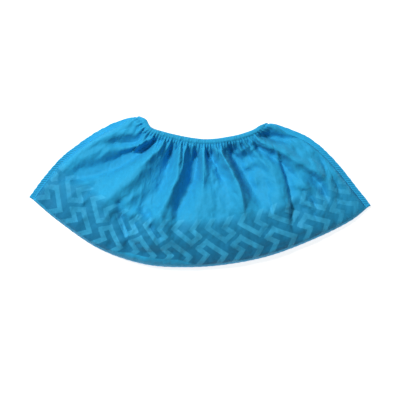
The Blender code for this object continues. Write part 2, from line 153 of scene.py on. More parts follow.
# The short creases cross them. Each has its name, its line, given in the photograph's pixels as well, how
# far it spreads to the left and right of that line in millimetres, its height as first read there, how many
# times higher it was made to match, how sharp it is, and where it starts to run out.
# A pixel is this many millimetres wide 23 mm above the floor, about half way up the folds.
PIXEL_ON_CLOTH = 1.072
CREASES = (
    ("toe ear pleat", ((158, 136), (147, 141), (136, 143), (116, 144), (98, 145)),
     2, 2.2, -1.8, 1.8, 1.2, 0.6),
    ("second toe pleat", ((159, 138), (143, 146), (129, 151), (114, 153)),
     2, 2, -1.6, 1.8, 1.2, 0.6),
    ("toe crease", ((157, 139), (147, 144), (138, 151), (126, 159), (109, 172)),
     5, 1.5, -2.2, 1.8, 1.2, 0.8),
    ("toe ear dimple", ((149, 128), (143, 125), (135, 123)),
     1.5, 1.5, -1.0, 1.8, 1.2, 0.5),
    ("second toe ear dimple", ((150, 131), (143, 129), (134, 128)),
     1.5, 1.5, -1.1, 1.8, 1.2, 0.5),
    ("third toe ear dimple", ((152, 133), (144, 133), (136, 134)),
     1.5, 1.5, -1.1, 1.8, 1.2, 0.5),
    ("toe hollow ridge", ((101, 146), (103, 156), (102, 166)),
     5, 2, 1.2, 1.8, 1.3, 0.7),
    ("toe cheek", ((96, 170), (80, 185), (66, 205)),
     9, 9, 3.0, 1.0, 2, 0.8),
    ("toe bump", ((88, 196), (97, 197), (106, 201)),
     2.5, 2.5, 1.6, 1.8, 1.3, 0.6),
    ("toe crumple", ((92, 176), (99, 181), (109, 178)),
     2, 2, -1.2, 1.8, 1.2, 0.6),
    ("second toe crumple", ((88, 188), (97, 192), (104, 189)),
     2, 2, -1.0, 1.8, 1.2, 0.6),
    ("toe ridge end", ((140, 172), (132, 182), (120, 190)),
     6, 4, 1.6, 1.8, 1.5, 0.7),
    ("toe pocket", ((120, 203), (122, 215), (125, 229), (131, 244)),
     4, 5, -6.5, 1.3, 1.3, 0.8),
    ("pocket bump", ((136, 211), (141, 226), (151, 241)),
     4, 3, 4.0, 1.3, 1.3, 0.7),
    ("pocket crease", ((149, 213), (152, 226), (161, 241)),
     3, 2.5, -3.2, 1.8, 1.2, 0.7),
    ("second pocket bump", ((160, 211), (165, 226), (175, 240)),
     3.5, 3, 2.8, 1.8, 1.3, 0.7),
    ("sole crease", ((110, 246), (128, 251), (155, 254), (186, 252)),
     3.5, 1.5, -2.0, 1.6, 1.2, 0.8),
    ("thin ridge", ((184, 145), (184, 155), (182, 168), (178, 181)),
     1.8, 1.8, 2.0, 1.8, 1.3, 0.7),
    ("middle pleat", ((202, 148), (203, 164), (204, 187)),
     1.3, 3.5, 1.5, 1.8, 1.2, 0.8),
    ("middle bar", ((197, 186), (208, 188), (219, 187)),
     3, 1.3, 1.1, 1.8, 1.2, 0.7),
    ("middle slant", ((207, 153), (213, 161), (220, 169)),
     3, 2.5, -2.4, 1.8, 1.2, 0.7),
    ("middle dent", ((222, 178), (214, 183), (208, 191)),
     2, 2, -1.0, 1.8, 1.2, 0.6),
    ("heel fold edge", ((216, 146), (221, 154), (227, 164), (234, 175), (239, 186), (242, 197), (244, 209)),
     1.5, 5, 4.2, 1.6, 1.3, 0.85),
    ("heel fold shade", ((228, 150), (234, 162), (240, 174), (246, 186)),
     8, 2.5, -3.6, 1.8, 1.4, 0.7),
    ("heel slant", ((247, 160), (256, 164), (266, 168)),
     3, 2, 1.4, 1.8, 1.2, 0.7),
    ("heel bow ridge", ((252, 141), (268, 148), (280, 153), (299, 163), (314, 170), (330, 178)),
     7, 2, 2.6, 1.8, 1.3, 0.8),
    ("heel bow notch", ((275, 150), (274, 155), (268, 158), (254, 157)),
     2, 4, -1.6, 1.8, 1.2, 0.7),
    ("heel bow shade", ((296, 148), (299, 155), (304, 158), (312, 155)),
     4, 4, -2.6, 1.8, 1.3, 0.7),
    ("heel crease", ((281, 161), (285, 172), (289, 186), (291, 204), (291, 226)),
     9, 1.6, -4.5, 1.6, 1.3, 0.8),
    ("heel crease dent", ((287, 168), (292, 173), (300, 172)),
     2, 2, -1.4, 1.8, 1.2, 0.6),
    ("heel dent", ((306, 172), (316, 178), (324, 188), (328, 202)),
     3, 6, -2.8, 2.4, 1.3, 0.7),
    ("second heel dent", ((322, 158), (327, 172), (326, 184)),
     2, 3.5, -2.0, 2.4, 1.2, 0.7),
    ("third heel dent", ((334, 178), (341, 192), (338, 208)),
     2, 3, -1.6, 2.4, 1.2, 0.7),
    ("fourth heel dent", ((302, 190), (312, 197), (318, 210)),
     2, 3, -1.6, 2.4, 1.2, 0.7),
    ("heel ear dip", ((260, 133), (270, 137), (283, 139), (296, 137), (307, 141)),
     7.5, 4, -8.0, 1.5, 1.5, 0.75),
    ("heel ear crease", ((262, 141), (276, 143), (292, 141), (300, 143)),
     1.8, 1.8, -1.4, 1.8, 1.2, 0.7),
    ("heel ear pleat", ((250, 134), (259, 143), (276, 148)),
     1.5, 1.5, -1.4, 1.8, 1.2, 0.5),
    ("crumple", ((246, 206), (256, 202), (268, 204)),
     2, 2, -0.9, 1.8, 1.2, 0.6),
    ("low crumple", ((200, 226), (214, 222), (226, 226)),
     2.5, 2.5, 0.9, 1.8, 1.2, 0.6),
    ("third pocket bump", ((120, 240), (134, 236), (146, 243)),
     3, 3, 1.6, 1.8, 1.3, 0.6),
    ("low toe crease", ((84, 206), (92, 214), (96, 226)),
     2.5, 3.5, -1.5, 1.8, 1.2, 0.7),
    ("low toe dent", ((104, 210), (110, 220), (111, 234)),
     2.5, 3.5, -1.8, 1.8, 1.2, 0.7),
    ("heel print dent", ((304, 206), (314, 212), (318, 224)),
     2.5, 3.5, -1.6, 1.8, 1.2, 0.7),
    ("heel print ridge", ((296, 186), (306, 186), (314, 190)),
     3, 2, 1.6, 1.8, 1.2, 0.6),
    ("second heel ridge", ((312, 160), (320, 166), (327, 176)),
     2, 3, 1.6, 1.8, 1.2, 0.6),
)
# These were laid on the cover instead, in millimetres from its middle.
LAID_CREASES = (
    ("toe hollow", ((-76, 42), (-89, 32), (-104, 23), (-121, 17), (-135, 14)),
     4, 16, -12.0, 1.0, 1.7, 0.92),
    ("toe brow", ((-140, 33), (-124, 47), (-107, 57), (-88, 64)),
     5, 10, 5.0, 1.0, 1.6, 0.85),
    ("middle hollow", ((73, 2), (69, 21), (60, 36), (50, 48)),
     20, 8, -7.5, 1.0, 1.5, 0.75),
    ("middle crumple", ((42, 30), (52, 26), (64, 29)),
     3, 5, 1.6, 1.0, 1.3, 0.6),
    ("second middle crumple", ((52, 14), (60, 10), (72, 12)),
     4, 3, 1.5, 1.0, 1.3, 0.6),
    ("plain crumple", ((-4, 12), (6, 7), (20, 8)),
     3, 4, -2.6, 1.0, 1.3, 0.6),
    ("second plain crumple", ((2, 38), (12, 33), (22, 37)),
     3, 3, 1.5, 1.0, 1.3, 0.6),
)


def even_samples(path, count):
    """Points at even distances: each coordinate is interpolated over the path's running length."""
    steps = np.linalg.norm(np.diff(path, axis=0), axis=1)
    length = np.concatenate(([0.0], np.cumsum(steps)))
    at = np.linspace(0, length[-1], count)
    return np.stack([np.interp(at, length, axis) for axis in path.T], axis=-1)


def smooth_path(points, count, fine=24):
    """A Catmull-Rom curve through the points, sampled at even distances."""
    points = np.array(points, float)
    ends = np.vstack((2 * points[0] - points[1], points, 2 * points[-1] - points[-2]))
    t = np.linspace(0, 1, fine, endpoint=False)[:, None]
    pieces = []
    for a, b, c, d in zip(ends, ends[1:], ends[2:], ends[3:]):
        pieces.append(0.5 * (2 * b + (c - a) * t + (2 * a - 5 * b + 4 * c - d) * t**2
                             + (3 * b - a - 3 * c + d) * t**3))
    return even_samples(np.vstack(pieces + [points[-1:]]), count)


def in_plan(table):
    """Shares of the length and height become metres round the middle of the cover."""
    return np.array(table) * (LENGTH, HEIGHT) + MIDDLE


def sideways(path):
    """Unit vectors to the right of the path, square to its direction."""
    along = np.gradient(path[:, :2], axis=0)
    along /= np.linalg.norm(along, axis=1, keepdims=True)
    return np.stack((along[:, 1], -along[:, 0]), axis=1)


def rounded(t):
    """A quarter circle that rises from 0 at t = 0 to 1 at t = 1."""
    return np.sqrt(1 - (1 - np.clip(t, 0, 1)) ** 2)


def eased(t):
    """The smooth step 3t² - 2t³ between 0 and 1."""
    t = np.clip(t, 0, 1)
    return t * t * (3 - 2 * t)


def unit(vectors):
    """The vectors divided by their own lengths."""
    return vectors / np.maximum(np.linalg.norm(vectors, axis=-1, keepdims=True), 1e-12)


def nearest_on_path(x, y, path):
    """For each point: the distance to the path, its side (+ right), and the share of the path there."""
    best = np.full(x.shape, np.inf)
    side = np.zeros(x.shape)
    share = np.zeros(x.shape)
    for i, ((ax, ay), (bx, by)) in enumerate(zip(path, path[1:])):
        dx, dy = bx - ax, by - ay
        t = np.clip(((x - ax) * dx + (y - ay) * dy) / (dx * dx + dy * dy), 0, 1)
        away = np.hypot(x - ax - t * dx, y - ay - t * dy)
        nearer = away < best
        best = np.where(nearer, away, best)
        side = np.where(nearer, np.sign((x - ax) * dy - (y - ay) * dx), side)
        share = np.where(nearer, (i + t) / (len(path) - 1), share)
    return best, side, share


def meeting(seam, fold):
    """Both lines cut off where they come nearest to each other, at a common corner."""
    apart = np.linalg.norm(seam[:, None] - fold[None], axis=2)
    i, j = np.unravel_index(np.argmin(apart), apart.shape)
    corner = (seam[i] + fold[j]) / 2
    return np.vstack((corner, seam[i + 1:])), np.vstack((corner, fold[j + 1:]))


def edge_lines():
    """The sole fold and the two welded lines, inside margins that narrow towards the mouth."""
    toe = smooth_path(in_plan(TOE_SEAM), 300)
    narrowing = 1 - 0.88 * eased((np.linspace(0, 1, 300) - 0.82) / 0.16)[:, None]
    toe = toe + SEAM_INSET * narrowing * sideways(toe)
    heel = smooth_path(in_plan(HEEL_SEAM), 300)
    heel = heel - SEAM_INSET * narrowing * sideways(heel)
    fold = smooth_path(in_plan(BOTTOM_FOLD), 600)
    toe, fold = meeting(toe, fold)
    heel, backwards = meeting(heel, fold[::-1])
    return backwards[::-1], toe, heel


def hem_line(table, toe, heel):
    """The drawn edge from seam to seam, sampled evenly over its length with the rise at the ears."""
    fine = smooth_path(np.vstack((toe[-1], in_plan(table), heel[-1])), 1200)
    length = np.linspace(0, 1, 1200) * np.sum(np.linalg.norm(np.diff(fine, axis=0), axis=1))
    rise = EAR_ROUND * rounded(np.minimum(length, length[-1] - length) / EAR_ROUND)
    return even_samples(np.column_stack((fine, rise)), COLUMNS + 1)[:, :2]


def row_shares():
    """Shares of the way from fold to hem, in steps about a third as long at both edges as in the belly."""
    t = np.linspace(0, 1, 2001)
    step = 2.8 - 1.9 * np.exp(-(t / 0.05) ** 2) - 1.9 * eased((t - 0.62) / 0.28)
    place = np.concatenate(([0.0], np.cumsum(1 / step[1:])))
    return np.interp(np.linspace(0, 1, ROW_COUNT), place / place[-1], t)


def layer_plan(hem, fold, toe, heel):
    """Columns straight from fold to hem, bent towards the seams at both ends: [row, column, xy]."""
    v = rows[:, None, None]
    u = across[None, :, None]
    straight = (1 - v) * fold[None] + v * hem[None]
    share = np.linspace(0, 1, 800)
    toe, heel = (
        np.stack([np.interp(rows, share, axis) for axis in even_samples(seam, 800).T], axis=-1)
        for seam in (toe, heel)
    )
    toe_bow = toe[:, None] - straight[:, :1]
    heel_bow = heel[:, None] - straight[:, -1:]
    return straight + eased(1 - u / SEAM_FADE) * toe_bow + eased(1 - (1 - u) / SEAM_FADE) * heel_bow


def layer_heights(plan, edges, front):
    """Heights of a layer without its folds.

    The front leaves its edges on a quarter circle and swells over the belly. The back drops from them
    on the same circle and lies on the floor.
    """
    v = rows[:, None]
    u = across[None]
    away = np.min([nearest_on_path(plan[..., 0], plan[..., 1], edge)[0] for edge in edges], axis=0)
    radius = EDGE_ROUND + (EAR_ROUND - EDGE_ROUND) * eased((v - 0.55) / 0.4)
    edge = EDGE_LIFT + (EAR_LIFT - EDGE_LIFT) * v**1.5
    leave = radius * rounded(away / radius)
    if not front:
        return np.maximum(edge - leave - FLOOR_SLOPE * np.maximum(away - radius, 0), 0.0005), away
    mouth = (HEM_LIFT - EAR_LIFT - EAR_ROUND) * v * eased(u / 0.16) * eased((1 - u) / 0.16)
    ends = (rounded(u / 0.36) * rounded((1 - u) / 0.36)) ** 1.6
    over = rounded(v / 0.38) * (1 - eased((v - 0.38) / 0.62))
    return edge + leave + mouth + (LOFT - 0.5 * HEM_LIFT) * ends * over, away


def seen_by_camera(plan, heights):
    """The pixels where the camera sees a layer: offset * lens / sensor * picture's side / distance."""
    pixels = CAMERA_LENS / CAMERA_SENSOR * PICTURE_SIDE / CAMERA_PLACE[2]
    nearer = CAMERA_PLACE[2] / (CAMERA_PLACE[2] - heights)
    return (PICTURE_SIDE / 2 + (plan[..., 0] - CAMERA_PLACE[0]) * nearer * pixels,
            PICTURE_SIDE / 2 - (plan[..., 1] - CAMERA_PLACE[1]) * nearer * pixels)


def cloth_shares(line, seen_x, seen_y):
    """Where a picture line lies on the cloth: shares from toe to heel and from the sole fold to the hem.

    They belong to the grid points seen nearest to even places on the line. Only a place that is lower than
    the one before it counts, and they are rounded, because the line given is no finer.
    """
    places = []
    for x, y in smooth_path(line, PICTURE_PLACES):
        nearest = np.argmin(np.hypot(seen_x - x, seen_y - y))
        row, column = np.unravel_index(nearest, seen_x.shape)
        places.append((float(column / COLUMNS), float(rows[row])))
    lower = places[:1] + [b for a, b in zip(places, places[1:]) if b[1] < a[1] - LOWER_BY]
    if len(lower) > PLACES_KEPT:
        lower = [lower[n] for n in np.rint(np.linspace(0, len(lower) - 1, PLACES_KEPT)).astype(int)]
    return np.array([(round(place, 3), round(up, 2)) for place, up in lower])


def main_relief(seen_x, seen_y):
    """The main folds: straight slopes between each ridge and the valley next to it, rounded a little.

    Every line keeps its full height over its own stretch, and runs out below and above it.
    """
    v = rows[:, None]
    knots = [np.zeros_like(v)]
    heights = [np.zeros_like(v)]
    for _, height, line in MAIN_FOLDS:
        places, ups = cloth_shares(line, seen_x, seen_y)[::-1].T
        knots.append(np.interp(v, ups, places))
        low = eased((v - ups[0] + 0.14) / 0.15) * (0.65 + 0.35 * eased((v - ups[0]) / 0.3))
        heights.append(height * MM * low * (1 - 0.75 * eased((v - 0.86) / 0.12)))
    knots = np.hstack(knots + [np.ones_like(v)])
    heights = np.hstack(heights + [np.zeros_like(v)])
    relief = np.stack([np.interp(across, np.maximum.accumulate(k), h) for k, h in zip(knots, heights)])
    spread = np.exp(-0.5 * (np.arange(-6, 7) / 1.8) ** 2)
    padded = np.pad(relief, ((0, 0), (6, 6)), mode="edge")
    return sum(w * padded[:, i:i + COLUMNS + 1] for i, w in enumerate(spread / spread.sum()))


def picture_on_cover(line):
    """A picture line in whole millimetres from the cover's middle, each pixel taken as equally wide."""
    middle = PICTURE_SIDE / 2
    lower = CAMERA_PLACE[1] / MM
    return [(round((x - middle) * PIXEL_ON_CLOTH), round((middle - y) * PIXEL_ON_CLOTH + lower))
            for x, y in line]


def crease_relief(x, y):
    """The short creases: a bell exp(-|d / spread|^sharpness) across each line, fading along it."""
    creases = [(picture_on_cover(line), *form) for _, line, *form in CREASES]
    creases += [(line, *form) for _, line, *form in LAID_CREASES]
    relief = np.zeros(x.shape)
    for points, left, right, first_height, times, sharpness, runs_out in creases:
        height = round(first_height * times, 1)
        line = smooth_path(np.array(points) * MM, 14)
        away, side, share = nearest_on_path(x, y, line)
        spread = np.where(side > 0, right, left) * MM
        fade = 1 - eased((share - runs_out) / (1.15 - runs_out))
        relief += height * MM * np.exp(-((away / spread) ** sharpness)) * fade
    return relief


def soft_noise(x, y, cell, seed):
    """Seeded value noise between -1 and 1 over the plan, with eased steps between its cells."""
    corners = np.random.default_rng(seed).uniform(-1, 1, (64, 64))
    gx, gy = x / cell + 32, y / cell + 32
    i, j = np.floor(gx).astype(int) % 63, np.floor(gy).astype(int) % 63
    fx, fy = eased(gx - np.floor(gx)), eased(gy - np.floor(gy))
    low = corners[i, j] * (1 - fx) + corners[i + 1, j] * fx
    high = corners[i, j + 1] * (1 - fx) + corners[i + 1, j + 1] * fx
    return low * (1 - fy) + high * fy


def crumples(x, y):
    """Slight dents of stiff thin cloth: the ridges 1 - |noise| of two sizes, turned against each other.

    They are stronger by 1 + gain * exp(-(distance / reach)^2) round each place where the cloth was crushed.
    """
    wide = 1 - 2 * np.abs(soft_noise(0.8 * x + 0.6 * y, 0.8 * y - 0.6 * x, WIDE_CRUMPLE[0], 5))
    narrow = 1 - 2 * np.abs(soft_noise(0.6 * x - 0.8 * y, 0.6 * y + 0.8 * x, NARROW_CRUMPLE[0], 9))
    crushed = 1.0
    for _, (middle_x, middle_y), reach, gain in CRUSHED:
        away = np.hypot(x / MM - middle_x, y / MM - middle_y)
        crushed = crushed + gain * np.exp(-(away / reach) ** 2)
    return (WIDE_CRUMPLE[1] * MM * wide + NARROW_CRUMPLE[1] * MM * narrow) * crushed


def gathers(below, seed):
    """Small pleats that the elastic makes: three waves, each twice as long as the one above it.

    Every wave has its own depth below the hem where it is strongest, and its spacing and height wander.
    """
    drawn = np.random.default_rng(seed)
    wander = np.interp(across * 59, np.arange(60), drawn.normal(0, 1, 60))
    strength = np.interp(across * 79, np.arange(80), drawn.uniform(0.55, 1.35, 80))
    turn = 2 * np.pi * GATHERS * across + 1.1 * wander
    depth = below / MM
    from_ends = np.minimum(across, 1 - across)
    off_ears = (1.0, eased((from_ends - 0.06) / 0.12), eased((from_ends - 0.12) / 0.12))
    wave = 0.12 * np.sin(turn)
    for size, (height, peak, reach) in enumerate(GATHER_WAVES):
        window = eased((depth - 3.2) / (peak - 3.2)) * np.exp(-(np.maximum(depth - peak, 0) / reach) ** 2)
        wave = wave + height * window * off_ears[size] * np.sin(turn / 2**size + 0.9 * size)
    return MM * wave * strength * eased(across / 0.05) * eased((1 - across) / 0.05)


def surface_normals(surface):
    """Unit normals of a grid of points from the differences along its rows and columns."""
    return unit(np.cross(np.gradient(surface, axis=1), np.gradient(surface, axis=0)))


def settle(guide, slack, cap, free):
    """Lets a layer find its folds: every thread keeps its own length while the edges stay put.

    Each round moves every point by its share of the stretch in the threads along, across and askew,
    adds the stiffness of the cloth, and never lets it go further than the cap from the guide.
    """
    rest_u = slack * np.linalg.norm(np.diff(guide, axis=1), axis=2)
    rest_v = SLACK_UPWARDS * np.linalg.norm(np.diff(guide, axis=0), axis=2)
    along, up = np.diff(guide, axis=1)[:-1], np.diff(guide, axis=0)[:, :-1]
    lean = np.sum(unit(along) * unit(up), axis=2)
    side_u, side_v = (rest_u[:-1] + rest_u[1:]) / 2, (rest_v[:, :-1] + rest_v[:, 1:]) / 2
    rest_rise = np.sqrt(side_u**2 + side_v**2 + 2 * side_u * side_v * lean)
    rest_drop = np.sqrt(side_u**2 + side_v**2 - 2 * side_u * side_v * lean)

    def pull(a, b, rest):
        """Half of what brings b to its rest length from a."""
        apart = b - a
        length = np.linalg.norm(apart, axis=-1)
        return apart * (0.5 * (length - rest) / np.maximum(length, 1e-9))[..., None]

    threads = (
        (np.s_[:, :-1], np.s_[:, 1:], rest_u, 1.0),
        (np.s_[:-1], np.s_[1:], rest_v, 1.0),
        (np.s_[:-1, :-1], np.s_[1:, 1:], rest_rise, PULL_ASKEW),
        (np.s_[:-1, 1:], np.s_[1:, :-1], rest_drop, PULL_ASKEW),
    )
    bends = ((np.s_[:, :-2], np.s_[:, 1:-1], np.s_[:, 2:]), (np.s_[:-2], np.s_[1:-1], np.s_[2:]))
    cloth = guide.copy()
    speed = np.zeros_like(cloth)
    for _ in range(SETTLE_ROUNDS):
        ahead = cloth + SPEED_KEPT * speed
        push = np.zeros_like(cloth)
        for here, onward, rest, strength in threads:
            move = strength * pull(ahead[here], ahead[onward], rest)
            push[here] += move
            push[onward] -= move
        for before, middle, after in bends:
            move = STIFFNESS * (ahead[after] + ahead[before] - 2 * ahead[middle])
            push[middle] += move
            push[after] -= move / 2
            push[before] -= move / 2
        there = ahead + PUSH_FOLLOWED * push
        off = there - guide
        reach = np.linalg.norm(off, axis=-1, keepdims=True)
        there = guide + PULLED_BACK * off * np.minimum(1, cap / np.maximum(reach, 1e-9))
        there[..., 2] = np.maximum(there[..., 2], SHEET_WALL / 2)
        there = cloth + (there - cloth) * free
        speed = there - cloth
        cloth = there
    return cloth


def folded_layer(front):
    """One layer with its folds settled: the plan and heights, then folds, crumples and gathers."""
    hem = hem_line(FRONT_HEM if front else BACK_HEM, toe_line, heel_line)
    plan = layer_plan(hem, even_samples(fold_line, COLUMNS + 1), toe_line, heel_line)
    edges = (even_samples(fold_line, 100), even_samples(toe_line, 60), even_samples(heel_line, 60))
    heights, away = layer_heights(plan, edges, front)
    plain = np.dstack((plan, heights))
    x, y = plan[..., 0], plan[..., 1]
    inside = rounded(away / 0.02) * eased((1 - rows[:, None]) / 0.16)
    steps = np.linalg.norm(np.diff(plain, axis=0), axis=2)
    below = np.vstack((np.cumsum(steps[::-1], axis=0)[::-1], np.zeros((1, COLUMNS + 1))))
    guide = plain.copy()
    if front:
        guide[..., 2] += (main_relief(*seen_by_camera(plan, heights)) - SINK) * inside
        guide += gathers(below, 7)[..., None] * surface_normals(plain)
        slack = 1.0 + 0.10 * eased((rows[:, None] - 0.80) / 0.12)
        cap = (0.5 * MM + 2.5 * MM * eased(away / 0.02))[..., None]
    else:
        lift = gathers(below, 11)
        guide[..., 2] += 0.7 * (np.abs(lift) + lift)
        slack = 1.0 + 0.10 * eased((rows[:, None] - 0.65) / 0.2)
        cap = (0.3 * MM + 1.6 * MM * eased(away / 0.03))[..., None]
    free = eased((below - HEM_BAND) / (2 * MM))
    free[0] = 0
    free[:, [0, -1]] = 0
    cloth = settle(guide, slack, cap, free[..., None])
    if front:
        clear = rounded(away / 0.015) * eased((below - HEM_BAND) / (9 * MM))
        around = np.pad(cloth[..., 2], ((0, 0), (4, 4)), mode="edge")
        mean = sum(around[:, i:i + COLUMNS + 1] for i in range(9)) / 9
        cloth[..., 2] += CRISPNESS * (cloth[..., 2] - mean) * clear
        relief = (crease_relief(x, y) + crumples(x, y) * rounded(below / 0.03)) * clear
        cloth[..., 2] += relief
        under = np.maximum(REST_FROM - cloth[..., 2], 0) * clear
        cloth[..., 2] += under * under / (under + REST_OVER)
        over = np.maximum(cloth[..., 2] - SLUMP_FROM, 0)
        cloth[..., 2] -= over * over / (over + SLUMP_OVER)
    return cloth, plan, below


def ring_smooth(values, reach):
    """A running mean round the mouth over reach columns on each side."""
    return sum(np.roll(values, shift, axis=0) for shift in range(-reach, reach + 1)) / (2 * reach + 1)


def turned_hem(rings):
    """The drawn edge rolled over the elastic and turned in: rows on a half circle, then straight down.

    Also gives the directions along which the band below the edge is swelled a little afterwards, as a hem
    does over its elastic, and pinched where the turned edge is welded on.
    """
    hem = ring_smooth(rings[-1], 2)
    tangent = unit(ring_smooth(np.roll(hem, -3, axis=0) - np.roll(hem, 3, axis=0), 6))
    onward = ring_smooth(unit(hem - rings[-5]), 9)
    normal = unit(np.cross(tangent, onward))
    onward = unit(np.cross(normal, tangent))
    rows_in = []
    for angle in np.radians((30, 60, 90, 120, 150, 180)):
        rows_in.append(rings[-1] + HEM_TURN * (np.sin(angle) * onward - (1 - np.cos(angle)) * normal))
    for down in (0.35, 0.7, 1.0):
        rows_in.append(rows_in[5] - down * HEM_INSIDE * onward)
    return rows_in, onward, normal


rows = row_shares()
across = np.linspace(0, 1, COLUMNS + 1)
fold_line, toe_line, heel_line = edge_lines()
front_layer, front_plan, front_below = folded_layer(True)
back_layer, back_plan, back_below = folded_layer(False)
back_layer[0] = front_layer[0]
back_layer[:, 0] = front_layer[:, 0]
back_layer[:, -1] = front_layer[:, -1]
rings = np.concatenate((front_layer, back_layer[:, -2:0:-1]), axis=1)
hem_rows, hem_onward, hem_normal = turned_hem(rings)
ring_below = np.concatenate((front_below, back_below[:, -2:0:-1]), axis=1)
swell = HEM_SWELL * MM * np.sin(np.pi * np.clip(ring_below / HEM_BAND, 0, 1)) - HEM_PINCH * MM * np.exp(
    -(((ring_below - 1.1 * HEM_BAND) / (0.9 * MM)) ** 2))
rings = rings + swell[..., None] * hem_normal
rings[..., 2] = np.maximum(rings[..., 2], SHEET_WALL / 2)
sheet = np.concatenate((rings, np.array(hem_rows)), axis=0)
front_sheet = sheet[:, :COLUMNS + 1]
back_sheet = np.concatenate((sheet[:, :1], sheet[:, :COLUMNS - 1:-1]), axis=1)
all_rows = len(sheet)


def surface_mesh(name, points, faces, uv_maps):
    """A mesh object from arrays, smooth all over, with one UV pair for each corner of each face."""
    mesh = bpy.data.meshes.new(name)
    mesh.from_pydata(points.tolist(), [], faces.tolist())
    for map_name, corners in uv_maps.items():
        layer = mesh.uv_layers.new(name=map_name)
        layer.data.foreach_set("uv", corners.astype(np.float32).ravel())
    mesh.polygons.foreach_set("use_smooth", np.ones(len(mesh.polygons), bool))
    mesh.update()
    thing = bpy.data.objects.new(name, mesh)
    bpy.context.scene.collection.objects.link(thing)
    return thing


def grid_corners(values, turned):
    """The four corner values of every patch of a grid, the other way round where it is turned."""
    a, b, c, d = values[:-1, :-1], values[:-1, 1:], values[1:, 1:], values[1:, :-1]
    order = (b, a, d, c) if turned else (a, b, c, d)
    corners = np.stack(order, axis=2)
    return corners.reshape((-1, 4) + values.shape[2:])


front_index = np.arange(all_rows * (COLUMNS + 1)).reshape(all_rows, COLUMNS + 1)
back_index = front_index.copy()
own = (all_rows - 1) * (COLUMNS - 1)
back_index[1:, 1:-1] = front_index.size + np.arange(own).reshape(all_rows - 1, COLUMNS - 1)
cloth_points = np.vstack((front_sheet.reshape(-1, 3), back_sheet[1:, 1:-1].reshape(-1, 3)))
cloth_faces = np.vstack((grid_corners(front_index, False), grid_corners(back_index, True)))

# Where a point lies on the cloth: across and up for the weave, along the sole and away from it for
# the print. The turned hem carries on from the row below it.
fold_length = np.sum(np.linalg.norm(np.diff(fold_line, axis=0), axis=1))


def cloth_places(layer, plan):
    """Weave places from the thread lengths, and print places from the nearest point of the sole fold."""
    height = np.vstack((np.zeros((1, COLUMNS + 1)),
                        np.cumsum(np.linalg.norm(np.diff(layer, axis=0), axis=2), axis=0)))
    width = (across[None] - 0.5) * SHEET_CUT[0] * (1 - 0.1 * np.minimum(height / 0.15, 1))
    plan = np.concatenate((plan, np.repeat(plan[-1:], all_rows - len(plan), axis=0)))
    away, _, share = nearest_on_path(plan[..., 0], plan[..., 1], even_samples(fold_line, 200))
    return np.dstack((width, height)), np.dstack((share * fold_length, away))


front_weave, front_print = cloth_places(front_sheet, front_plan)
back_weave, back_print = cloth_places(back_sheet, back_plan)
back_weave[..., 1] *= -1
cover = surface_mesh("cover", cloth_points, cloth_faces, {
    "weave": np.vstack((grid_corners(front_weave, False), grid_corners(back_weave, True))),
    "print": np.vstack((grid_corners(front_print, False), grid_corners(back_print, True))),
})
wall = cover.modifiers.new("Wall", "SOLIDIFY")
wall.thickness = SHEET_WALL
wall.offset = 0.0

CLOTH_BLUE = (0.021, 0.365, 0.680, 1.0)
# The sole band's blue is partly a printed tint and partly painted shade.
SOLE_BAND_AND_SHADE_BLUE = (0.008, 0.160, 0.340, 1.0)
PRINT_BLUE = (0.054, 0.490, 0.830, 1.0)
BOND_BLUE = (0.012, 0.220, 0.460, 1.0)
# How strongly the darker sole band, the ink and the bond points colour the cloth. The sole band is partly a
# printed tint and partly painted shade, where the cloth turns down to the fold.
SOLE_BAND_AND_SHADE_SHARE = 0.95
PRINT_SHARE = 0.75
BOND_SHARE = 0.62
# How far, in millimetres, the bond points sink and the fibres and the ink stand up, and the scale and
# the height of the fine crinkles.
BOND_DEPTH = 0.10
FIBRE_HEIGHT = 0.035
PRINT_HEIGHT = 0.10
CRINKLES = ((48.0, 2.6), (115.0, 1.3))
BOND_PITCH = 0.00145
# The print is drawn in millimetres along the sole fold from the toe, and away from the fold. Its figure
# comes again at every pitch, and the lower row is the upper one turned half round.
PRINT_REACH = 52.5
PRINT_PITCH = 40.0
PRINT_START = 8.2
PRINT_TURN = (275.7, 54.3)
PRINT_HALF_WIDTH = 2.7
# The ink is worn beyond this distance from its middle, and the dark sole band, which is partly painted
# shade, grows paler at the heel: where each begins, and the loss for each millimetre.
WEAR_MIDDLE = 205.0
WEAR_FROM = 110.0
WEAR_LOSS = 0.0045
PALER_FROM = 285.0
PALER_LOSS = 0.004
# A plain strip is left next to the fold. It is wider round one place, as far as its reach on both sides.
STRIP_WIDTH = 2.2
STRIP_WIDER = 6.5
STRIP_MIDDLE = 150.0
STRIP_REACH = 50.0
STRIP_FADE = 22.0
PRINT_STROKES = (
    ((15.0, 53.5), (4.9, 42.5)), ((4.9, 42.5), (24.7, 27.0)), ((24.7, 27.0), (34.6, 33.5)),
    ((34.6, 33.5), (25.6, 41.0)), ((25.6, 41.0), (37.0, 53.5)),
)


def node_group(name, inputs, outputs):
    """An empty shader group with named sockets, and its input and output nodes."""
    group = bpy.data.node_groups.new(name, "ShaderNodeTree")
    for kind, label, value in inputs:
        socket = group.interface.new_socket(name=label, in_out="INPUT", socket_type=kind)
        if value is not None:
            socket.default_value = value
    for kind, label in outputs:
        group.interface.new_socket(name=label, in_out="OUTPUT", socket_type=kind)
    return group, group.nodes.new("NodeGroupInput"), group.nodes.new("NodeGroupOutput")


def feed(tree, socket, value):
    """Links a socket from another, or sets it to a plain value."""
    if isinstance(value, bpy.types.NodeSocket):
        tree.links.new(value, socket)
    else:
        socket.default_value = value


def sums(tree, operation, *values, clamp=False):
    """One arithmetic node over sockets and numbers."""
    node = tree.nodes.new("ShaderNodeMath")
    node.operation = operation
    node.use_clamp = clamp
    for socket, value in zip(node.inputs, values):
        feed(tree, socket, value)
    return node.outputs[0]


def vector_sums(tree, operation, *values):
    """One vector node over sockets and triples."""
    node = tree.nodes.new("ShaderNodeVectorMath")
    node.operation = operation
    for socket, value in zip(node.inputs, values):
        feed(tree, socket, value)
    return node.outputs["Value" if operation in ("DOT_PRODUCT", "LENGTH") else "Vector"]


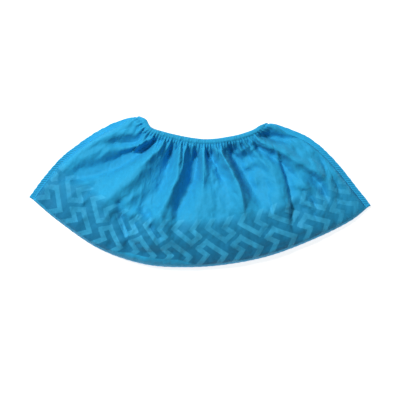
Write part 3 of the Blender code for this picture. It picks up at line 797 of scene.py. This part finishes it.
def combined(tree, x, y, z=0.0):
    """A vector from three sockets or numbers."""
    node = tree.nodes.new("ShaderNodeCombineXYZ")
    for socket, value in zip(node.inputs, (x, y, z)):
        feed(tree, socket, value)
    return node.outputs[0]


def blended(tree, share, first, second, way="MIX"):
    """Two colours mixed by a share."""
    node = tree.nodes.new("ShaderNodeMix")
    node.data_type = "RGBA"
    node.blend_type = way
    feed(tree, node.inputs[0], share)
    feed(tree, node.inputs[6], first)
    feed(tree, node.inputs[7], second)
    return node.outputs[2]


def noise(tree, place, scale, detail=2.0, roughness=0.5):
    """A noise value between 0 and 1."""
    node = tree.nodes.new("ShaderNodeTexNoise")
    node.inputs["Scale"].default_value = scale
    node.inputs["Detail"].default_value = detail
    node.inputs["Roughness"].default_value = roughness
    feed(tree, node.inputs["Vector"], place)
    return node.outputs["Fac"]


def uv_place(tree, name):
    """The place on the cloth that a named UV map holds."""
    node = tree.nodes.new("ShaderNodeUVMap")
    node.uv_map = name
    return node.outputs[0]


def bonded_fibre_group():
    """Spunbonded cloth: rows of small oval bond points set like bricks, and cloudy drifts of fibre.

    A point is 1 minus the distance from the nearest centre of a brick grid over the oval's radius.
    """
    group, start, end = node_group(
        "Bonded fibre",
        (("NodeSocketVector", "Place", None), ("NodeSocketFloat", "Pitch", BOND_PITCH)),
        (("NodeSocketFloat", "Points"), ("NodeSocketFloat", "Clouds"), ("NodeSocketFloat", "Fibres")),
    )
    parts = group.nodes.new("ShaderNodeSeparateXYZ")
    group.links.new(start.outputs["Place"], parts.inputs[0])
    column = sums(group, "DIVIDE", parts.outputs[0], start.outputs["Pitch"])
    row = sums(group, "DIVIDE", parts.outputs[1], sums(group, "MULTIPLY", start.outputs["Pitch"], 0.62))
    odd = sums(group, "FLOORED_MODULO", sums(group, "FLOOR", row), 2.0)
    column = sums(group, "MULTIPLY_ADD", odd, 0.5, column)
    dx = sums(group, "SUBTRACT", sums(group, "FRACT", column), 0.5)
    dy = sums(group, "MULTIPLY", sums(group, "SUBTRACT", sums(group, "FRACT", row), 0.5), 0.72)
    away = vector_sums(group, "LENGTH", combined(group, dx, dy))
    point = sums(group, "SUBTRACT", 1.0, sums(group, "DIVIDE", away, 0.27), clamp=True)
    group.links.new(sums(group, "SMOOTH_MIN", point, 0.6, 0.3), end.inputs["Points"])
    group.links.new(noise(group, start.outputs["Place"], 130.0, 4.0, 0.6), end.inputs["Clouds"])
    stretched = vector_sums(group, "MULTIPLY", start.outputs["Place"], (900.0, 4200.0, 1.0))
    group.links.new(noise(group, stretched, 1.0, 3.0, 0.65), end.inputs["Fibres"])
    return group


def stroke_distance(tree, place, begin, finish):
    """How far a place is outside a square-ended bar: the greater of the overshoots along and across."""
    begin, finish = np.array(begin), np.array(finish)
    length = float(np.linalg.norm(finish - begin))
    ahead = (finish - begin) / length
    offset = vector_sums(tree, "SUBTRACT", place, (*((begin + finish) / 2), 0.0))
    along = vector_sums(tree, "DOT_PRODUCT", offset, (*ahead, 0.0))
    aside = vector_sums(tree, "DOT_PRODUCT", offset, (-ahead[1], ahead[0], 0.0))
    over = sums(tree, "SUBTRACT", sums(tree, "ABSOLUTE", along), length / 2 + PRINT_HALF_WIDTH)
    out = sums(tree, "SUBTRACT", sums(tree, "ABSOLUTE", aside), PRINT_HALF_WIDTH)
    return sums(tree, "MAXIMUM", over, out)


def tread_hook_group():
    """One hooked figure of the tread print, drawn from five bars, in millimetres."""
    group, start, end = node_group(
        "Tread hook", (("NodeSocketVector", "Place", None),), (("NodeSocketFloat", "Outside"),))
    nearest = stroke_distance(group, start.outputs[0], *PRINT_STROKES[0])
    for begin, finish in PRINT_STROKES[1:]:
        nearest = sums(group, "MINIMUM", nearest, stroke_distance(group, start.outputs[0], begin, finish))
    group.links.new(nearest, end.inputs[0])
    return group


def tread_print_group():
    """Two rows of hooks along the sole, the lower row turned half round, inside the printed band. The
    band's darkening is partly painted shade, darkest at the fold.
    """
    group, start, end = node_group(
        "Tread print",
        (("NodeSocketVector", "Place", None),),
        (("NodeSocketFloat", "Bars"), ("NodeSocketFloat", "Band and shade")),
    )
    hook = tread_hook_group()
    parts = group.nodes.new("ShaderNodeSeparateXYZ")
    in_millimetres = vector_sums(group, "MULTIPLY", start.outputs[0], (1 / MM, 1 / MM, 1 / MM))
    group.links.new(in_millimetres, parts.inputs[0])
    ragged = sums(group, "MULTIPLY_ADD", noise(group, start.outputs[0], 900.0, 1.0), 0.7, -0.35)
    rows_of_hooks = []
    for turned in (False, True):
        if turned:
            x = sums(group, "SUBTRACT", PRINT_TURN[0], parts.outputs[0])
            y = sums(group, "SUBTRACT", PRINT_TURN[1], parts.outputs[1])
        else:
            x = sums(group, "SUBTRACT", parts.outputs[0], PRINT_START)
            y = parts.outputs[1]
        one = group.nodes.new("ShaderNodeGroup")
        one.node_tree = hook
        place = combined(group, sums(group, "FLOORED_MODULO", x, PRINT_PITCH), y)
        group.links.new(place, one.inputs[0])
        rows_of_hooks.append(one.outputs[0])
    outside = sums(group, "ADD", sums(group, "MINIMUM", *rows_of_hooks), ragged)
    band = sums(group, "SUBTRACT", PRINT_REACH, parts.outputs[1], clamp=True)
    inked = sums(group, "MULTIPLY_ADD", outside, -1.6, 0.5, clamp=True)
    aside = sums(group, "ABSOLUTE", sums(group, "SUBTRACT", parts.outputs[0], STRIP_MIDDLE))
    strip = sums(group, "MULTIPLY_ADD", aside, -1 / STRIP_FADE, STRIP_REACH / STRIP_FADE, clamp=True)
    start_at = sums(group, "MULTIPLY_ADD", strip, STRIP_WIDER, STRIP_WIDTH)
    above_fold = sums(group, "SUBTRACT", parts.outputs[1], start_at, clamp=True)
    inked = sums(group, "MULTIPLY", sums(group, "MULTIPLY", inked, band), above_fold)
    from_middle = sums(group, "ABSOLUTE", sums(group, "SUBTRACT", parts.outputs[0], WEAR_MIDDLE))
    unworn = sums(group, "MULTIPLY_ADD", from_middle, -WEAR_LOSS, 1 + WEAR_FROM * WEAR_LOSS, clamp=True)
    inked = sums(group, "MULTIPLY", inked, unworn)
    group.links.new(inked, end.inputs["Bars"])
    soft_band = sums(group, "MULTIPLY_ADD", parts.outputs[1], -0.14, 0.14 * PRINT_REACH, clamp=True)
    # The band darkens towards the fold: partly a printed tint, and partly painted shade where the cloth
    # turns down away from the light.
    band_and_painted_shade = sums(group, "MULTIPLY_ADD", parts.outputs[1], -0.010, 1.0)
    band_and_painted_shade = sums(group, "MULTIPLY", band_and_painted_shade, above_fold)
    paler = sums(group, "MULTIPLY_ADD", parts.outputs[0], -PALER_LOSS, 1 + PALER_FROM * PALER_LOSS,
                 clamp=True)
    band_and_painted_shade = sums(group, "MULTIPLY", band_and_painted_shade, paler)
    group.links.new(sums(group, "MULTIPLY", soft_band, band_and_painted_shade), end.inputs["Band and shade"])
    return group


def cloth_shader(name, colour, roughness):
    """A material with its tree and its main shader."""
    material = bpy.data.materials.new(name)
    material.use_nodes = True
    shader = material.node_tree.nodes["Principled BSDF"]
    shader.inputs["Base Color"].default_value = colour
    shader.inputs["Roughness"].default_value = roughness
    shader.inputs["Specular IOR Level"].default_value = 0.12
    shader.inputs["Sheen Weight"].default_value = 0.02
    shader.inputs["Sheen Roughness"].default_value = 0.5
    return material, material.node_tree, shader


def placed_group(tree, group, **values):
    """A node group placed in a material with its own values."""
    node = tree.nodes.new("ShaderNodeGroup")
    node.node_tree = group
    for label, value in values.items():
        feed(tree, node.inputs[label], value)
    return node


bonded_fibre = bonded_fibre_group()
cloth_finish, tree, shader = cloth_shader("blue_spunbond", CLOTH_BLUE, 0.62)
weave = uv_place(tree, "weave")
fibre = placed_group(tree, bonded_fibre, Place=weave)
tread = placed_group(tree, tread_print_group(), Place=uv_place(tree, "print"))
drift = sums(tree, "MULTIPLY_ADD", fibre.outputs["Clouds"], 0.30, 0.85)
colour = blended(tree, 1.0, CLOTH_BLUE, combined(tree, drift, drift, drift), "MULTIPLY")
# The darker sole band: partly printed, partly painted shade that deepens towards the fold.
shade = sums(tree, "MULTIPLY", tread.outputs["Band and shade"], SOLE_BAND_AND_SHADE_SHARE)
colour = blended(tree, shade, colour, SOLE_BAND_AND_SHADE_BLUE)
patches = noise(tree, weave, 34.0, 2.0, 0.5)
worn = sums(tree, "MULTIPLY_ADD", patches, 1.6, -0.75)
worn = sums(tree, "MULTIPLY_ADD", fibre.outputs["Clouds"], 1.1, worn)
worn = sums(tree, "ADD", worn, 0.1, clamp=True)
inked = sums(tree, "MULTIPLY", sums(tree, "MULTIPLY", tread.outputs["Bars"], worn), PRINT_SHARE)
colour = blended(tree, inked, colour, PRINT_BLUE)
dots = sums(tree, "MULTIPLY", fibre.outputs["Points"], BOND_SHARE)
colour = blended(tree, dots, colour, BOND_BLUE)
tree.links.new(colour, shader.inputs["Base Color"])
rough = sums(tree, "MULTIPLY_ADD", tread.outputs["Bars"], -0.12, 0.64)
tree.links.new(rough, shader.inputs["Roughness"])
height = sums(tree, "MULTIPLY", fibre.outputs["Points"], -BOND_DEPTH)
height = sums(tree, "MULTIPLY_ADD", fibre.outputs["Fibres"], FIBRE_HEIGHT, height)
height = sums(tree, "MULTIPLY_ADD", tread.outputs["Bars"], PRINT_HEIGHT, height)
for scale, size in CRINKLES:
    crinkle = sums(tree, "ABSOLUTE", sums(tree, "SUBTRACT", noise(tree, weave, scale, 1.5, 0.4), 0.5))
    height = sums(tree, "MULTIPLY_ADD", crinkle, size, height)
bump = tree.nodes.new("ShaderNodeBump")
bump.inputs["Strength"].default_value = 1.0
bump.inputs["Distance"].default_value = MM
tree.links.new(height, bump.inputs["Height"])
tree.links.new(bump.outputs[0], shader.inputs["Normal"])
cover.data.materials.append(cloth_finish)
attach(cover, "root")
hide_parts("cover_sheet")

# The welded margins. At both ends the two layers are pressed together with a hot ribbed wheel, which
# leaves a thin stiff strip with a row of small slanting marks, and the knife leaves its edge uneven.
MARGIN_WIDTH = 0.0054
MARGIN_WALL = 0.00045
MARGIN_STATIONS = 260
MARGIN_STEPS = 12
MARGIN_RAGGED = (-0.35, 0.25)
MARGIN_COCKLE = 0.45
MARK_PITCH = 0.0026
MARK_SHARE = 0.85
MARK_DEPTH = 0.28
MARK_FADE = (0.055, 0.04)
MARGIN_BLUE = (0.010, 0.200, 0.430, 1.0)


def margin_strip(name, line, side, seed):
    """A strip from the welded line outwards: its edge waves a little and it cockles up and down."""
    out = np.column_stack((side * sideways(line), np.zeros(len(line))))
    along = np.linspace(0, 1, len(line))
    drawn = np.random.default_rng(seed)
    ragged = np.interp(along * 79, np.arange(80), drawn.uniform(*MARGIN_RAGGED, 80)) * MM
    cockle = np.interp(along * 25, np.arange(26), drawn.uniform(-1, 1, 26)) * MARGIN_COCKLE * MM
    t = np.linspace(-0.08, 1, MARGIN_STEPS)[:, None]
    reach = t * (MARGIN_WIDTH * (1 - 0.97 * eased((along - 0.80) / 0.17)) + ragged * t * (along < 0.85))
    strip = line[None] + reach[..., None] * out[None]
    strip[..., 2] += cockle[None] * np.clip(t, 0, 1) ** 1.5
    strip[..., 2] = np.maximum(strip[..., 2], MARGIN_WALL)
    length = np.concatenate(([0.0], np.cumsum(np.linalg.norm(np.diff(line, axis=0), axis=1))))
    places = np.dstack((np.broadcast_to(length, reach.shape), reach))
    index = np.arange(strip.shape[0] * strip.shape[1]).reshape(strip.shape[:2])
    turned = side > 0
    thing = surface_mesh(name, strip.reshape(-1, 3), grid_corners(index, turned),
                         {"weld": grid_corners(places, turned)})
    skin = thing.modifiers.new("Wall", "SOLIDIFY")
    skin.thickness = MARGIN_WALL
    skin.offset = 0.0
    return thing


def pressed_marks(tree, place):
    """Slanting marks: a triangle wave along the strip, sheared across it, kept off both edges.

    The wheel presses less towards the mouth, so the marks fade to a quarter there.
    """
    parts = tree.nodes.new("ShaderNodeSeparateXYZ")
    tree.links.new(place, parts.inputs[0])
    slant = sums(tree, "MULTIPLY_ADD", parts.outputs[1], 0.8, parts.outputs[0])
    wave = sums(tree, "PINGPONG", sums(tree, "DIVIDE", slant, MARK_PITCH), 0.5)
    mark = sums(tree, "MULTIPLY_ADD", wave, 5.0, -0.9, clamp=True)
    inner = sums(tree, "MULTIPLY_ADD", parts.outputs[1], 2200.0, -0.9, clamp=True)
    outer = sums(tree, "MULTIPLY_ADD", parts.outputs[1], -2200.0, 10.4, clamp=True)
    worn = sums(tree, "MULTIPLY_ADD", parts.outputs[0], -1 / MARK_FADE[1], MARK_FADE[0] / MARK_FADE[1] + 1,
                clamp=True)
    kept = sums(tree, "MULTIPLY_ADD", worn, 0.75, 0.25)
    return sums(tree, "MULTIPLY", sums(tree, "MULTIPLY", mark, kept), sums(tree, "MULTIPLY", inner, outer))


weld_finish, tree, shader = cloth_shader("pressed_weld", MARGIN_BLUE, 0.48)
weld_place = uv_place(tree, "weld")
marks = pressed_marks(tree, weld_place)
fibre = placed_group(tree, bonded_fibre, Place=weld_place)
cloudy = sums(tree, "MULTIPLY_ADD", fibre.outputs["Clouds"], 0.35, 1.0)
colour = blended(tree, 1.0, CLOTH_BLUE, combined(tree, cloudy, cloudy, cloudy), "MULTIPLY")
colour = blended(tree, sums(tree, "MULTIPLY", marks, MARK_SHARE), colour, MARGIN_BLUE)
tree.links.new(colour, shader.inputs["Base Color"])
tree.links.new(sums(tree, "MULTIPLY_ADD", marks, -0.2, 0.6), shader.inputs["Roughness"])
height = sums(tree, "MULTIPLY", marks, -MARK_DEPTH)
height = sums(tree, "MULTIPLY_ADD", fibre.outputs["Fibres"], 0.03, height)
bump = tree.nodes.new("ShaderNodeBump")
bump.inputs["Distance"].default_value = MM
tree.links.new(height, bump.inputs["Height"])
tree.links.new(bump.outputs[0], shader.inputs["Normal"])
# Each margin with the node that it stands for, its column of the cloth, its side and its seed.
MARGINS = (
    ("toe_margin", "toe_seam", 0, -1, 21),
    ("heel_margin", "heel_seam", COLUMNS, 1, 22),
)
for name, node, column, side, seed in MARGINS:
    strip = margin_strip(name, even_samples(rings[:, column], MARGIN_STATIONS), side, seed)
    strip.data.materials.append(weld_finish)
    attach(strip, "root")
    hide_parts(node)

# The elastic. A flat white rubber ribbon lies loose inside the turned hem all round the mouth and
# draws it together. It shows only where the hem gapes.
ELASTIC_THICK = 0.0008
ELASTIC_WIDTH = 0.0024
ELASTIC_DROP = 0.0017
ELASTIC_WHITE = (0.80, 0.81, 0.80, 1.0)
RIB_SHADE = (0.62, 0.64, 0.64, 1.0)
RIB_LIGHT = (0.84, 0.85, 0.84, 1.0)
RIB_SCALE = 260.0
THREAD_STEP = 0.0006
ROUND_STEP = 0.0005


def elastic_ring():
    """A rounded flat section carried round the middle of the hem roll: [corner, column, xyz]."""
    middle = ring_smooth(rings[-1] - HEM_TURN * hem_normal - ELASTIC_DROP * hem_onward, 4)
    angle = np.linspace(0, 2 * np.pi, 12, endpoint=False)[:, None, None]
    square = np.sign(np.cos(angle)) * np.abs(np.cos(angle)) ** 0.5
    return (middle[None] + ELASTIC_THICK / 2 * square * hem_normal[None]
            + ELASTIC_WIDTH / 2 * np.sin(angle) * hem_onward[None])


section = elastic_ring()
closed = np.pad(np.arange(section.shape[0] * section.shape[1]).reshape(section.shape[:2]),
                ((0, 1), (0, 1)), mode="wrap")
closed_place = np.dstack(np.meshgrid(np.arange(closed.shape[1]) * THREAD_STEP,
                                     np.arange(closed.shape[0]) * ROUND_STEP))
elastic = surface_mesh("elastic", section.reshape(-1, 3), grid_corners(closed, False),
                       {"weave": grid_corners(closed_place, False)})
elastic_finish, tree, shader = cloth_shader("white_elastic", ELASTIC_WHITE, 0.55)
ribs = tree.nodes.new("ShaderNodeTexWave")
ribs.bands_direction = "Y"
ribs.inputs["Scale"].default_value = RIB_SCALE
ribs.inputs["Distortion"].default_value = 0.6
tree.links.new(uv_place(tree, "weave"), ribs.inputs["Vector"])
tree.links.new(blended(tree, ribs.outputs["Fac"], RIB_SHADE, RIB_LIGHT), shader.inputs["Base Color"])
bump = tree.nodes.new("ShaderNodeBump")
bump.inputs["Distance"].default_value = 0.15 * MM
tree.links.new(ribs.outputs["Fac"], bump.inputs["Height"])
tree.links.new(bump.outputs[0], shader.inputs["Normal"])
elastic.data.materials.append(elastic_finish)
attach(elastic, "root")
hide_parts("elastic_band")

# The table top is plain white paper seen from straight above. It glows a little, as painted light that
# fills in its shadow and lights the cloth's lower edges.
PAPER_SIDE = 12.0
PAPER_DROP = 0.0002
PAPER_TONE = 0.46
PAPER_GRAIN = 0.02
PAPER_GLOW = 0.80
paper = surface_mesh(
    "paper",
    np.array(((-1, -1, 0), (1, -1, 0), (1, 1, 0), (-1, 1, 0))) * PAPER_SIDE / 2 - (0, 0, PAPER_DROP),
    np.array(((0, 1, 2, 3),)), {})
paper_finish = bpy.data.materials.new("white_paper")
paper_finish.use_nodes = True
tree = paper_finish.node_tree
shader = tree.nodes["Principled BSDF"]
object_place = tree.nodes.new("ShaderNodeTexCoord").outputs["Object"]
tone = sums(tree, "MULTIPLY_ADD", noise(tree, object_place, 60.0, 3.0), PAPER_GRAIN, PAPER_TONE)
tree.links.new(combined(tree, tone, tone, tone), shader.inputs["Base Color"])
shader.inputs["Roughness"].default_value = 0.85
# Painted light: the paper's glow washes out its own shadow.
shader.inputs["Emission Color"].default_value = (1.0, 1.0, 1.0, 1.0)
shader.inputs["Emission Strength"].default_value = PAPER_GLOW
paper.data.materials.append(paper_finish)


def soft_light(name, place, size, watts, colour):
    """A square area light that points at the middle of the cover."""
    lamp = bpy.data.lights.new(name, "AREA")
    lamp.shape = "SQUARE"
    lamp.size = size
    lamp.energy = watts
    lamp.color = colour
    thing = bpy.data.objects.new(name, lamp)
    thing.location = place
    thing.rotation_euler = (-Vector(place)).to_track_quat("-Z", "Y").to_euler()
    bpy.context.scene.collection.objects.link(thing)


FILL_COLOUR = (1.0, 0.97, 0.90, 1.0)
FILL_STRENGTH = 0.22
PALE_GROUND = (0.93, 0.94, 0.95, 1.0)
soft_light("window", place=(-1.15, 1.15, 2.2), size=0.6, watts=71.0, colour=(1.0, 0.99, 0.97))
soft_light("overhead", place=(0.1, 0.1, 2.2), size=1.2, watts=1.0, colour=(0.98, 0.99, 1.0))
world = bpy.data.worlds.new("studio")
world.use_nodes = True
fill = world.node_tree.nodes["Background"]
fill.inputs["Color"].default_value = FILL_COLOUR
fill.inputs["Strength"].default_value = FILL_STRENGTH
pale = world.node_tree.nodes.new("ShaderNodeBackground")
pale.inputs["Color"].default_value = PALE_GROUND
seen = world.node_tree.nodes.new("ShaderNodeMixShader")
ray = world.node_tree.nodes.new("ShaderNodeLightPath")
world.node_tree.links.new(ray.outputs["Is Camera Ray"], seen.inputs[0])
world.node_tree.links.new(fill.outputs[0], seen.inputs[1])
world.node_tree.links.new(pale.outputs[0], seen.inputs[2])
world.node_tree.links.new(seen.outputs[0], world.node_tree.nodes["World Output"].inputs["Surface"])
bpy.context.scene.world = world

view = bpy.data.cameras.new("camera")
view.lens = CAMERA_LENS
view.sensor_width = CAMERA_SENSOR
view.dof.use_dof = False
camera = bpy.data.objects.new("camera", view)
camera.location = CAMERA_PLACE
bpy.context.scene.collection.objects.link(camera)
bpy.context.scene.camera = camera
bpy.context.scene.view_settings.view_transform = "Standard"
